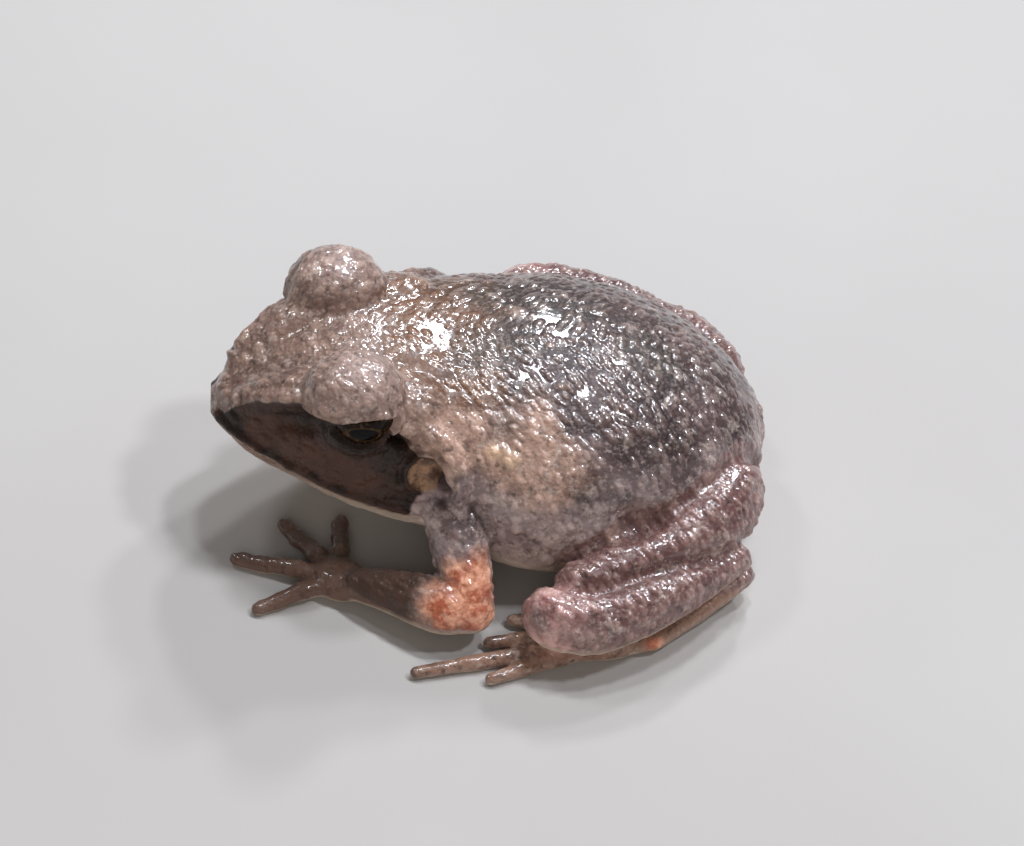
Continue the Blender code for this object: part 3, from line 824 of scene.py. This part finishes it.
def face_height(points):
    """Lips, mouth, nostrils, the sharp ridge along the snout, its hollow side and the fold over the ear."""
    height = np.zeros(len(points))
    for above, rise, width in MOUTH_LINES:
        height += line_height(points, mouth_rows(0.0, above, 0.0), rise, width)
    for line, rise, width, fade in FACE_LINES:
        height += line_height(points, line, rise, width, fade)
    nostril = np.linalg.norm(points - np.array(NOSTRIL), axis=1)
    height += 0.12 * hump(nostril, 0.62, 0.22) - 0.5 * hump(nostril, 0.0, 0.28)
    return height * (points[:, 0] > 2.5) * ease(points[:, 2], 5.0, 6.0)


def trunk_gap(points):
    """About how far each point stands off the trunk's own surface."""
    rows = through(TRUNK, RINGS_PER_SPAN)
    low, middle, top, half_width = [np.interp(points[:, 0], rows[:, 0], rows[:, k]) for k in range(1, 5)]
    height = np.where(points[:, 2] > middle, top - middle, middle - low)
    reach = np.hypot(points[:, 1] / half_width, (points[:, 2] - middle) / height)
    return (reach - 1.0) * np.minimum(half_width, height)


def crease_height(points):
    """The folds where one form of the body presses against the next, and the hollow of the groin."""
    gaps = {"trunk": trunk_gap(points)}
    for name, rows in LIMBS.items():
        distance, radius, _ = along(points, rows)
        gaps[name] = distance - radius
    height = np.zeros(len(points))
    for one, two, depth, width in CREASES:
        near = 1.0 - ease(np.maximum(np.abs(gaps[one]), np.abs(gaps[two])), *CREASE_REACH)
        height -= depth * near * hump(gaps[one] - gaps[two], 0.0, width)
    groin = np.linalg.norm((points - np.array(GROIN)) / np.array(GROIN_REACH), axis=1)
    return height - GROIN_DEPTH * hump(groin, 0.0, 1.0)


def spot(points, places, size):
    """1 at the middle of any of these places and 0 away from them."""
    share = np.zeros(len(points))
    for place in places:
        share = np.maximum(share, hump(np.linalg.norm(points - np.array(place), axis=1), 0.0, size))
    return share


def dress_skin(skin):
    """Work the face, the creases and the warts into the bare skin, and mark where its colours change."""
    head, ring = drape_lids(swing(places(skin), -1.0))
    points = swing(head)
    put(skin, points)
    normal = facing(skin)
    face = mirrored_left(head)
    body = mirrored_left(points)

    cover = {name: cover_of(body, rows) for name, rows in LIMBS.items()}
    digits = (1.0 - ease(body[:, 2], 1.9, 2.8)) * ease(body[:, 1], 9.5, 11.5)
    under = 1.0 - ease(normal[:, 2], -0.6, -0.1)
    limbs = np.maximum(cover["upper_arm"], digits)
    on_head = ease(face[:, 0], 3.5, 7.0) * (1.0 - limbs)
    ear_lift, ear = ear_height(face)

    height = ear_lift * (1.0 - cover["upper_arm"]) + face_height(face) + crease_height(body)
    vent = np.linalg.norm(points - np.array(VENT), axis=1)
    height += 0.2 * hump(vent, 1.3, 0.5) - 0.6 * hump(vent, 0.0, 0.55)
    wart = spot(points, SHOULDER_WARTS, 0.62)
    height += 0.42 * wart + 0.5 * spot(body, [HEEL_LUMP], 1.0)

    leg = np.maximum(cover["shank"], cover["thigh"])
    tough = (1.0 - 0.12 * on_head) * (1.0 - 0.75 * digits) * (1.0 - 0.75 * under) * (1.0 - ear)
    slant = points * np.array([1.0, GRAIN_STRETCH, GRAIN_STRETCH])
    slant[:, 0] += GRAIN_SLANT * np.sqrt(points[:, 1] ** 2 + 2.0)
    slant += 0.25 * ripple(points, 2.2, 3)[:, None]
    grain = warts(slant, *WARTS["grain"])
    beads = warts(points, *WARTS["beads"])
    knobs = warts(points * np.array([0.8, 1.0, 1.0]), *WARTS["knobs"])
    joints = spot(body, [FOREARM[0][:3], SHANK[0][:3]], 3.2)
    flank = ease(body[:, 1], 8.0, 10.5) * hump(body[:, 2], 8.0, 3.6) * hump(points[:, 0], -4.5, 7.0)
    wrinkles = ripple(points * np.array([1.0, 0.32, 0.32]), 0.95, 53)
    height += tough * ((GRAIN_HEIGHT + LEG_GRAIN * leg) * grain + KNOB_HEIGHT * knobs)
    height += (0.3 + 0.7 * tough) * (BEAD_HEIGHT + HEAD_BEADS * on_head + JOINT_BEADS * joints) * beads
    height += 0.08 * tough * ripple(points, 3.1, 41) + 0.02 * tough * ripple(slant, 1.3, 43)
    height += WRINKLE_HEIGHT * flank * wrinkles + 0.05 * under * ripple(points, 0.8, 47)
    height *= ease(ring, 0.96, 1.06)
    points = points + normal * height[:, None]
    put(skin, kept_in_box(points))

    # The dark side of the head: partly its own dark brown and partly painted shade.
    dark_side_and_shade = dark_side_and_shade_share(face) * (1.0 - limbs) * (1.0 - 0.6 * ear)
    # Painted shadow lies over the forearm, without its fingers and elbow, as if the head shaded it.
    forearm = cover["forearm"] * (1.0 - digits) * (1.0 - spot(body, ELBOW_PLACES, 3.2))
    # The side of the lower jaw, below the lips, is given painted shade.
    shaded_chin = (1.0 - ease(face[:, 2], 8.4, 10.6)) * ease(face[:, 0], 6.0, 9.0)
    paint_marks(
        skin,
        {
            "grain": grain * tough,
            # Painted shade in the hollows between the warts.
            "shaded_hollows": tough * (1.0 - ease(np.maximum(grain, 0.6 * beads), 0.1, 0.6)),
            "beads": tough * beads,
            "knobs": knobs * tough,
            "wart": wart,
            "under": under * (1.0 - ease(points[:, 2], 6.0, 10.0)),
            "head": ease(face[:, 0], 0.0, 9.0) * (1.0 - limbs),
            "ear": ear,
            "dark_side_and_shade": dark_side_and_shade,
            "wet": ease(normal[:, 2], 0.0, 0.6) * (1.0 - dark_side_and_shade) * (1.0 - 0.7 * forearm) * (1.0 - 0.5 * digits),
            # Paler grey on the lids' tops: their own grey, with a painted highlight in its paleness.
            "lid": spot(face, [LID_TOP], 3.6),
            "cheek": spot(face, CHEEK_PLACES, 2.0),
            "jaw": shaded_chin * ease(normal[:, 2], -0.9, -0.2),
            "ochre": spot(body, OCHRE_PLACES, 3.4),
            "moss": spot(points, MOSS_PLACES, 3.0),
            # The shoulders' own pink, with painted light: full on the animal's left side and weaker on its
            # right.
            "blush_and_painted_light": spot(body, BLUSH_PLACES, 3.6) * (0.35 + 0.65 * ease(points[:, 1], -5.0, 5.0)),
            "elbow": spot(body, ELBOW_PLACES, 2.6) * (1.0 - digits) + spot(body, [HEEL_LUMP], 1.3),
            "forearm": forearm,
            "flank": 1.0 - ease(normal[:, 2] + 0.25 * ripple(points, 3.7, 61), 0.25, 0.85),
            "knee": spot(body, [SHANK[0][:3]], 3.3),
            "leg": leg,
            "digits": digits,
            # Painted shade darkens the nostrils and the vent.
            "pit_shade": spot(face, [NOSTRIL], 0.32) + hump(vent, 0.0, 0.6),
            # Painted shadow in the pocket under the fold over the ear.
            "fold": np.abs(line_height(face, EAR_FOLD_POCKET, 1.0, 0.5)),
        },
    )
    return skin


def dark_side_and_shade_share(face):
    """1 on the dark side of the head, below the snout's ridge and round the eye, and 0 on its top; its dark
    is partly the head's own colour and partly painted shade.
    """
    line = np.array(MASK_TOP)
    top = np.interp(face[:, 0], line[:, 0], line[:, 1])
    bottom = np.interp(face[:, 0], np.array(MOUTH)[::-1, 0], np.array(MOUTH)[::-1, 1]) + MASK_FOOT
    top = top + 0.15 * ripple(face, 0.9, 71)
    below = 1.0 - ease(face[:, 2], top - 0.35, top + 0.1)
    above = ease(face[:, 2], bottom, bottom + 0.5)
    return below * above * ease(face[:, 0], 4.0, 5.2) * ease(face[:, 1], 0.8, 2.2)


def kept_in_box(points):
    """No point reaches past the solids' own box or below the floor."""
    low, high = [np.array(corner / METRES - SHIFT) for corner in SOLID_BOX]
    low[2] = 0.0
    return np.clip(points, low + [BOX_CLEARANCE, BOX_CLEARANCE, 0.0], high - BOX_CLEARANCE)


def paint_marks(item, marks):
    """Keep each mark's share, 0 to 1, on the vertices, for the material to read."""
    for name, values in marks.items():
        layer = item.data.attributes.new(name, "FLOAT", "POINT")
        layer.data.foreach_set("value", np.clip(values, 0.0, 1.0).astype(np.float32))


def set_in_place(item):
    """Bring a form from its own millimetres to metres over the solids."""
    item.data.transform(Matrix.Scale(METRES, 4) @ Matrix.Translation(SHIFT))
    return item


def skin_shift():
    """How far the solids stand from the forms' own origin."""
    low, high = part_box("eye_left")
    straight = swing(np.array([EYE_CENTRE]))[0]
    return (low + high) / 2.0 / METRES - Vector(straight)


SHIFT = skin_shift()


class Nodes:
    """Short ways to add and join the nodes of one material."""

    def __init__(self, name):
        self.material = bpy.data.materials.new(name)
        self.material.use_nodes = True
        self.tree = self.material.node_tree
        self.shader = self.tree.nodes["Principled BSDF"]

    def plug(self, value, socket):
        if isinstance(value, bpy.types.NodeSocket):
            self.tree.links.new(value, socket)
        else:
            socket.default_value = value

    def mark(self, name):
        node = self.tree.nodes.new("ShaderNodeAttribute")
        node.attribute_name = name
        return node.outputs["Fac"]

    def share(self, name, amount):
        return self.math("MULTIPLY", self.mark(name), amount)

    def patch(self, name, scale, amount):
        """A mark with a ragged edge."""
        edge = self.math("SUBTRACT", self.noise(scale, 4.0, 0.6), 0.5)
        ragged = self.math("ADD", self.mark(name), edge)
        return self.range(ragged, 0.25, 0.75, 0.0, amount)

    def place(self):
        return self.tree.nodes.new("ShaderNodeTexCoord").outputs["Object"]

    def noise(self, scale, detail, roughness=0.5):
        node = self.tree.nodes.new("ShaderNodeTexNoise")
        self.plug(self.place(), node.inputs["Vector"])
        node.inputs["Scale"].default_value = scale
        node.inputs["Detail"].default_value = detail
        node.inputs["Roughness"].default_value = roughness
        return node.outputs["Fac"]

    def cells(self, scale):
        node = self.tree.nodes.new("ShaderNodeTexVoronoi")
        node.feature = "F1"
        self.plug(self.place(), node.inputs["Vector"])
        node.inputs["Scale"].default_value = scale
        return node.outputs["Distance"]

    def range(self, value, low, high, start=0.0, end=1.0):
        node = self.tree.nodes.new("ShaderNodeMapRange")
        node.interpolation_type = "SMOOTHSTEP"
        for socket, number in zip(list(node.inputs)[:5], (value, low, high, start, end)):
            self.plug(number, socket)
        return node.outputs["Result"]

    def math(self, operation, one, two):
        node = self.tree.nodes.new("ShaderNodeMath")
        node.operation = operation
        self.plug(one, node.inputs[0])
        self.plug(two, node.inputs[1])
        return node.outputs["Value"]

    def mix(self, share, one, two):
        node = self.tree.nodes.new("ShaderNodeMix")
        node.data_type = "RGBA"
        self.plug(share, node.inputs["Factor"])
        self.plug(one, node.inputs["A"])
        self.plug(two, node.inputs["B"])
        return node.outputs["Result"]

    def wash(self, colour, name, scale, amount, tint):
        """A tint over the colour where a mark is, with a ragged edge unless the scale is None."""
        share = self.patch(name, scale, amount) if scale else self.share(name, amount)
        return self.mix(share, colour, tone(*tint))

    def fleck(self, colour, scale, detail, roughness, low, high, amount, tint):
        """A tint over the colour where a noise rises past two levels."""
        flecks = self.range(self.noise(scale, detail, roughness), low, high)
        return self.mix(self.math("MULTIPLY", flecks, amount), colour, tone(*tint))

    def bump(self, height, strength, distance):
        node = self.tree.nodes.new("ShaderNodeBump")
        node.inputs["Strength"].default_value = strength
        node.inputs["Distance"].default_value = distance
        self.plug(height, node.inputs["Height"])
        return node.outputs["Normal"]

    def finish(self, **settings):
        for name, value in settings.items():
            self.plug(value, self.shader.inputs[name.replace("_", " ")])
        return self.material


def tone(red, green, blue):
    """A colour given as 0 to 255 on a screen."""
    channels = []
    for value in (red, green, blue):
        share = value / 255.0
        channels.append(share / 12.92 if share <= 0.04045 else ((share + 0.055) / 1.055) ** 2.4)
    return (*channels, 1.0)


def wet_skin():
    """Mottled skin under a film of water that lies where the skin faces up."""
    nodes = Nodes("wet_skin")
    broad = nodes.range(nodes.noise(260.0, 4.0), 0.36, 0.64)
    upper = nodes.mix(broad, tone(58, 44, 44), tone(88, 67, 66))
    flank = nodes.mix(broad, tone(156, 136, 135), tone(196, 175, 170))
    colour = nodes.mix(nodes.mark("flank"), upper, flank)
    for wash in REGION_WASHES:
        colour = nodes.wash(colour, *wash)
    colour = nodes.fleck(colour, *BARS)
    for wash in WART_WASHES:
        colour = nodes.wash(colour, *wash)
    for fleck in FLECKS:
        colour = nodes.fleck(colour, *fleck)
    blotch = nodes.range(nodes.noise(700.0, 5.0, 0.65), 0.38, 0.60)
    rusty = nodes.mix(blotch, tone(176, 92, 60), tone(246, 180, 146))
    rosy = nodes.mix(blotch, tone(186, 126, 120), tone(248, 200, 190))
    colour = nodes.mix(nodes.patch("knee", 300.0, 0.8), colour, rosy)
    colour = nodes.mix(nodes.patch("elbow", 300.0, 0.9), colour, rusty)
    clouds = nodes.range(nodes.noise(420.0, 4.0, 0.6), 0.44, 0.64)
    # Painted shadow over the forearm: a mottled dark brown that stands for the head's shadow on it.
    shade = nodes.mix(clouds, tone(38, 24, 18), tone(72, 46, 34))
    colour = nodes.mix(nodes.patch("forearm", 300.0, 0.9), colour, shade)
    # Painted shade over the head's own dark side: a near-black brown, with a less dark reddish-brown cheek in
    # it.
    dark_side_and_shade_colour = nodes.mix(clouds, tone(28, 20, 15), tone(60, 39, 30))
    dark_side_and_shade_colour = nodes.mix(nodes.patch("cheek", 260.0, 0.6), dark_side_and_shade_colour, tone(88, 56, 44))
    # Painted shade on the side of the lower jaw: a darker brown.
    colour = nodes.mix(nodes.patch("jaw", 400.0, 0.7), colour, tone(84, 62, 52))
    colour = nodes.mix(nodes.patch("dark_side_and_shade", 420.0, 0.96), colour, dark_side_and_shade_colour)
    dapple = nodes.range(nodes.noise(900.0, 5.0, 0.65), 0.36, 0.62)
    drum = nodes.mix(dapple, tone(84, 60, 46), tone(168, 132, 100))
    colour = nodes.mix(nodes.patch("ear", 500.0, 0.85), colour, drum)
    for wash in LAST_WASHES:
        colour = nodes.wash(colour, *wash)
    grains = nodes.math("MULTIPLY", nodes.cells(2600.0), -1.0)
    fine = nodes.math("ADD", grains, nodes.noise(4200.0, 2.0))
    return nodes.finish(
        Base_Color=colour,
        Roughness=nodes.range(nodes.noise(700.0, 3.0), 0.3, 0.7, 0.34, 0.52),
        Normal=nodes.bump(fine, 0.45, 0.00014),
        Coat_Weight=nodes.range(nodes.mark("wet"), 0.0, 1.0, 0.08, 0.9),
        Specular_IOR_Level=0.3,
        Coat_Roughness=0.13,
        Coat_IOR=1.6,
        Subsurface_Weight=0.06,
        Subsurface_Radius=(0.0012, 0.0006, 0.0004),
        Subsurface_Scale=1.0,
    )


def eye_material():
    """A dark iris with dim gold flecks round a pupil that is an oval lying flat, under a clear cornea."""
    nodes = Nodes("eye_surface")
    split = nodes.tree.nodes.new("ShaderNodeSeparateXYZ")
    nodes.plug(nodes.place(), split.inputs[0])
    x, y, z = [nodes.math("DIVIDE", split.outputs[axis], EYE_RADIUS * METRES) for axis in "XYZ"]
    wide = nodes.math("POWER", nodes.math("DIVIDE", x, PUPIL_HALF_LENGTH), 2.0)
    tall = nodes.math("POWER", nodes.math("DIVIDE", y, PUPIL_HALF_HEIGHT), 2.0)
    reach = nodes.math("ADD", wide, tall)
    flecks = nodes.range(nodes.noise(2600.0, 5.0), 0.50, 0.66)
    iris = nodes.mix(nodes.math("MULTIPLY", flecks, 0.5), tone(26, 17, 12), tone(104, 74, 42))
    iris = nodes.mix(nodes.range(z, 0.30, 0.60), tone(14, 9, 7), iris)
    iris = nodes.mix(nodes.range(reach, 1.5, 1.05, 0.0, 0.35), iris, tone(104, 76, 44))
    colour = nodes.mix(nodes.range(reach, 0.86, 1.05), tone(4, 3, 3), iris)
    return nodes.finish(
        Base_Color=colour,
        Roughness=0.25,
        Specular_IOR_Level=0.02,
        Coat_Weight=0.4,
        Coat_Roughness=0.02,
        Coat_IOR=1.36,
    )


def eye(word, side, material):
    """An eyeball with a slightly raised cornea, its own Z axis along the gaze."""
    shape = bmesh.new()
    bmesh.ops.create_uvsphere(shape, u_segments=96, v_segments=64, radius=EYE_RADIUS)
    for vertex in shape.verts:
        rise = float(ease(vertex.co.z / EYE_RADIUS, *CORNEA_EDGE))
        vertex.co *= 1.0 - EYE_SINK * (1.0 - rise)
    item = object_from_bmesh("eye_ball_" + word, shape)
    item.data.transform(Matrix.Scale(METRES, 4))
    item.data.polygons.foreach_set("use_smooth", [True] * len(item.data.polygons))
    centre = Vector((EYE_CENTRE[0], EYE_CENTRE[1] * side, EYE_CENTRE[2]))
    axis = Vector((LID_AXIS.x, LID_AXIS.y * side, LID_AXIS.z))
    ends = swing(np.array([centre, centre + axis]))
    gaze = Vector(ends[1] - ends[0])
    middle = (Vector(ends[0]) + SHIFT) * METRES
    item.matrix_world = Matrix.Translation(middle) @ gaze.to_track_quat("Z", "Y").to_matrix().to_4x4()
    item.data.materials.append(material)
    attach(item, "root")
    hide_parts("eye_" + word)


def camera():
    """A camera with the photograph's angle, distance and framing."""
    back = Vector(
        (
            math.sin(VIEW_AZIMUTH) * math.cos(VIEW_ELEVATION),
            -math.cos(VIEW_AZIMUTH) * math.cos(VIEW_ELEVATION),
            math.sin(VIEW_ELEVATION),
        )
    )
    lens = bpy.data.cameras.new("camera")
    lens.sensor_width = SENSOR_WIDTH
    lens.lens = PIXELS_PER_MILLIMETRE * VIEW_DISTANCE / FRAME_WIDTH * SENSOR_WIDTH
    lens.shift_x = (FRAME_WIDTH / 2.0 - VIEW_CENTRE[0]) / FRAME_WIDTH
    lens.shift_y = (VIEW_CENTRE[1] - FRAME_HEIGHT / 2.0) / FRAME_WIDTH
    lens.clip_start = 0.01
    lens.clip_end = 20.0
    stand = bpy.data.objects.new("camera", lens)
    bpy.context.scene.collection.objects.link(stand)
    spot = Matrix.Translation((Vector(VIEW_TARGET) + back * VIEW_DISTANCE) * METRES)
    look = (-back).to_track_quat("-Z", "Y").to_matrix().to_4x4()
    stand.matrix_world = spot @ look @ Matrix.Rotation(VIEW_ROLL, 4, "Z")
    bpy.context.scene.camera = stand


def floor():
    """A pale floor, flat round the animal, that curves up far off so that no horizon shows."""
    shape = bmesh.new()
    level = -FLOOR_CLEARANCE * METRES
    rings = []
    for reach, rise in FLOOR_PROFILE:
        angles = [2.0 * math.pi * k / FLOOR_SIDES for k in range(FLOOR_SIDES)]
        spots = [(reach * math.cos(a), reach * math.sin(a), level + rise) for a in angles]
        rings.append([shape.verts.new(spot) for spot in spots])
    shape.faces.new(rings[0])
    for ring, onward in zip(rings, rings[1:]):
        for k in range(FLOOR_SIDES):
            following = (k + 1) % FLOOR_SIDES
            shape.faces.new((ring[k], ring[following], onward[following], onward[k]))
    item = object_from_bmesh("floor", shape)
    item.data.polygons.foreach_set("use_smooth", [True] * len(item.data.polygons))
    nodes = Nodes("pale_floor")
    speckle = nodes.range(nodes.noise(9.0, 4.0), 0.3, 0.7)
    colour = nodes.mix(speckle, tone(176, 172, 168), tone(184, 181, 177))
    item.data.materials.append(nodes.finish(Base_Color=colour, Roughness=0.8))


def lamp(name, spot, size, power, colour):
    """A soft square light that faces the frog: its spot and size in metres, and its power in watts."""
    light = bpy.data.lights.new(name, "AREA")
    light.size = size
    light.energy = power
    light.color = colour
    stand = bpy.data.objects.new(name, light)
    bpy.context.scene.collection.objects.link(stand)
    stand.location = spot
    aim = Vector((0.0, 0.0, 0.01)) - Vector(spot)
    stand.rotation_mode = "QUATERNION"
    stand.rotation_quaternion = aim.to_track_quat("-Z", "Y")
    return stand


def studio():
    """A dim sky, a fan of small lights for the glints, and two soft lights for the shape."""
    world = bpy.data.worlds.new("studio")
    bpy.context.scene.world = world
    world.use_nodes = True
    sky = world.node_tree.nodes["Background"]
    sky.inputs["Color"].default_value = SKY_COLOUR
    sky.inputs["Strength"].default_value = SKY_STRENGTH
    bpy.context.scene.view_settings.view_transform = "Standard"
    for number, (x, y, power) in enumerate(LIGHT_FAN):
        spot = [LIGHT_REACH * part for part in (x, y, math.sqrt(1.0 - x * x - y * y))]
        lamp("over_%d" % number, spot, LIGHT_SIZE, power, LIGHT_COLOUR)
    lamp("ahead", (0.32, -0.30, 0.66), 0.10, 0.9, (0.94, 0.97, 1.0))
    fill = lamp("fill", (0.20, 0.90, 0.45), 0.80, 3.4, (1.0, 0.94, 0.90))
    fill.visible_glossy = False


def main():
    skin = set_in_place(dress_skin(bare_skin()))
    skin.data.polygons.foreach_set("use_smooth", [True] * len(skin.data.polygons))
    skin.data.materials.append(wet_skin())
    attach(skin, "root")
    flesh = [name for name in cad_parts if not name.startswith("eye_")]
    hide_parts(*flesh)
    surface = eye_material()
    for word, side in SIDES.items():
        eye(word, side, surface)
    floor()
    studio()
    camera()


main()
